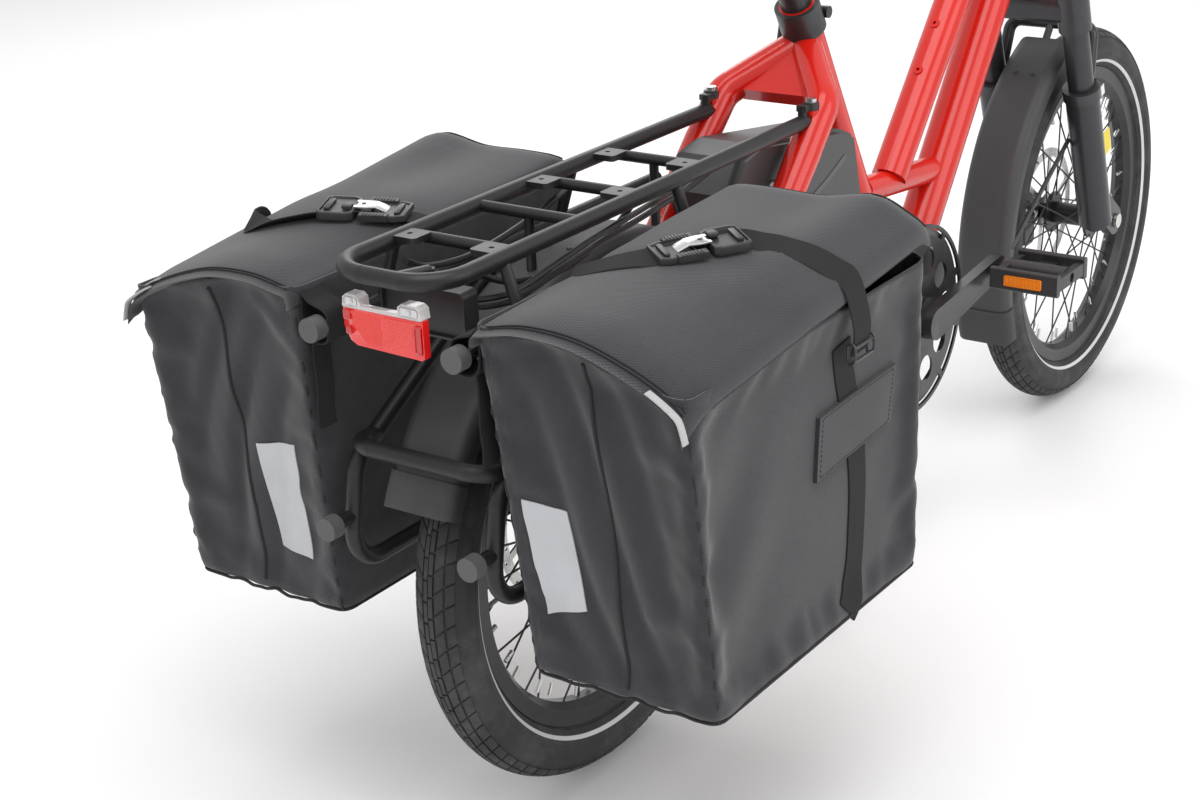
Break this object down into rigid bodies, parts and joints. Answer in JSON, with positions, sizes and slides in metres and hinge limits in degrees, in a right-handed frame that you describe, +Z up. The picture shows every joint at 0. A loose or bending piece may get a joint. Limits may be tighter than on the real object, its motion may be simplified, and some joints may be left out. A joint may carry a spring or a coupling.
{
  "type": "cargo bicycle",
  "caption": "Compact cargo bicycle with a long rear rack, two roll-top side bags, mid-drive motor, suspension fork, fenders and centre stand.",
  "frame": {"origin": "on the ground under the middle of the whole length and width", "axes": "+X towards the front wheel, +Y to the rider's left, +Z up"},
  "size_m": [1.747, 0.6544, 1.0382],
  "materials": {
    "frame_paint": "gloss orange-red paint",
    "black_paint": "satin black powder coat",
    "fender_plastic": "matt dark grey",
    "flap_rubber": "matt",
    "battery_plastic": "fine-grained dark grey",
    "motor_metal": "satin dark grey",
    "bag_fabric": "coarse woven polyester, water-repellent",
    "webbing": "ribbed nylon webbing",
    "bare_steel": "brushed",
    "black_alloy": "black anodised, satin",
    "dark_alloy": "dark grey anodised, semi-gloss",
    "tyre_rubber": "matt with a block tread",
    "grip_rubber": "matt, ribbed",
    "foot_rubber": "matt dark grey",
    "hose_rubber": "satin",
    "lens_red": "moulded prismatic reflector",
    "black_plastic": "moulded",
    "saddle_cover": "matt synthetic leather"
  },
  "bodies": {
    "frame": {"head_tube": "frame_paint", "down_tube": "frame_paint", "top_tube": "frame_paint", "seat_tube": "frame_paint", "seat_stays": "frame_paint", "chain_stays": "frame_paint", "motor_unit": "motor_metal", "battery_pack": "battery_plastic", "rack_deck": "black_paint", "rack_side_frames": "black_paint", "rack_bolts": "bare_steel", "parking_feet": "foot_rubber", "tail_light_body": "black_plastic", "tail_light_lens": "lens_red", "rear_fender": "fender_plastic", "rear_mudflap": "flap_rubber", "rear_axle": "bare_steel", "rear_caliper": "black_alloy", "chain": "bare_steel", "seat_clamp": "black_alloy", "rear_cables": "hose_rubber", "left_bag": "bag_fabric", "right_bag": "bag_fabric"},
    "left_lid": {"left_lid": "bag_fabric", "left_lid_strap": "webbing"},
    "right_lid": {"right_lid": "bag_fabric", "right_lid_strap": "webbing"},
    "steering": {"fork_crown": "dark_alloy", "stem": "black_paint", "handlebar": "black_alloy", "grips": "grip_rubber", "lever_clamps": "black_alloy", "headlight": "black_paint"},
    "fork_slider": {"fork_lowers": "dark_alloy", "front_axle": "bare_steel", "front_fender": "fender_plastic", "front_mudflap": "flap_rubber", "front_caliper": "black_alloy"},
    "front_wheel": {"front_tyre": "tyre_rubber", "front_rim": "black_alloy", "front_spokes": "black_alloy", "front_hub": "black_alloy", "front_disc": "bare_steel"},
    "rear_wheel": {"rear_tyre": "tyre_rubber", "rear_rim": "black_alloy", "rear_spokes": "black_alloy", "rear_hub": "black_alloy", "rear_disc": "bare_steel"},
    "rear_sprocket": {"rear_sprocket": "bare_steel"},
    "crank": {"crank_arms": "black_alloy", "chainring": "black_alloy"},
    "right_pedal": {"right_pedal": "black_plastic"},
    "left_pedal": {"left_pedal": "black_plastic"},
    "left_brake_lever": {"left_brake_lever": "black_alloy"},
    "right_brake_lever": {"right_brake_lever": "black_alloy"},
    "centre_stand": {"centre_stand": "black_paint"},
    "seatpost": {"seatpost": "black_alloy", "saddle": "saddle_cover"},
    "clamp_lever": {"clamp_lever": "black_alloy"}
  },
  "joints": [
    {"name": "steering_turn", "type": "hinge", "parent": "frame", "child": "steering", "pos_m": [0.36804, 0, 0.8], "axis": [-0.3338, 0, 0.9426], "range_deg": [-60, 60]},
    {"name": "fork_travel", "type": "slide", "parent": "steering", "child": "fork_slider", "axis": [-0.3338, 0, 0.9426], "range_m": [0, 0.045], "stiffness_N_per_m": 9000, "springref_m": -0.03},
    {"name": "front_wheel_spin", "type": "hinge", "parent": "fork_slider", "child": "front_wheel", "pos_m": [0.611, 0, 0.2625], "axis": [0, 1, 0], "continuous": true},
    {"name": "rear_wheel_spin", "type": "hinge", "parent": "frame", "child": "rear_wheel", "pos_m": [-0.57, 0, 0.2625], "axis": [0, 1, 0], "continuous": true},
    {"name": "crank_spin", "type": "hinge", "parent": "frame", "child": "crank", "pos_m": [0.0105, 0, 0.299], "axis": [0, 1, 0], "continuous": true},
    {"name": "sprocket_spin", "type": "hinge", "parent": "frame", "child": "rear_sprocket", "pos_m": [-0.57, 0, 0.2625], "axis": [0, 1, 0], "continuous": true},
    {"name": "right_pedal_spin", "type": "hinge", "parent": "crank", "child": "right_pedal", "pos_m": [0.18103, -0.14, 0.32145], "axis": [0, 1, 0], "continuous": true},
    {"name": "left_pedal_spin", "type": "hinge", "parent": "crank", "child": "left_pedal", "pos_m": [-0.16003, 0.14, 0.27655], "axis": [0, 1, 0], "continuous": true},
    {"name": "left_brake_pull", "type": "hinge", "parent": "steering", "child": "left_brake_lever", "pos_m": [0.36148, 0.18098, 1.00806], "axis": [0, 0, 1], "range_deg": [0, 18], "stiffness_Nm_per_rad": 1.2, "springref_deg": -14.32},
    {"name": "right_brake_pull", "type": "hinge", "parent": "steering", "child": "right_brake_lever", "pos_m": [0.36148, -0.18098, 1.00806], "axis": [0, 0, -1], "range_deg": [0, 18], "stiffness_Nm_per_rad": 1.2, "springref_deg": -14.32},
    {"name": "stand_fold", "type": "hinge", "parent": "frame", "child": "centre_stand", "pos_m": [-0.2045, 0, 0.178], "axis": [0, 1, 0], "range_deg": [0, 80]},
    {"name": "seatpost_slide", "type": "slide", "parent": "frame", "child": "seatpost", "axis": [-0.4814, 0, 0.8765], "range_m": [-0.1, 0.06]},
    {"name": "clamp_lever_swing", "type": "hinge", "parent": "frame", "child": "clamp_lever", "pos_m": [-0.13271, 0.032, 0.69], "axis": [1, 0, 0], "range_deg": [0, 120]},
    {"name": "left_lid_open", "type": "hinge", "parent": "frame", "child": "left_lid", "pos_m": [-0.6595, 0.098, 0.5816], "axis": [1, 0, 0], "range_deg": [0, 95]},
    {"name": "right_lid_open", "type": "hinge", "parent": "frame", "child": "right_lid", "pos_m": [-0.6595, -0.098, 0.5816], "axis": [-1, 0, 0], "range_deg": [0, 95]}
  ],
  "couplings": [
    {"joint": "sprocket_spin", "follows": "crank_spin", "ratio": 2.6}
  ]
}
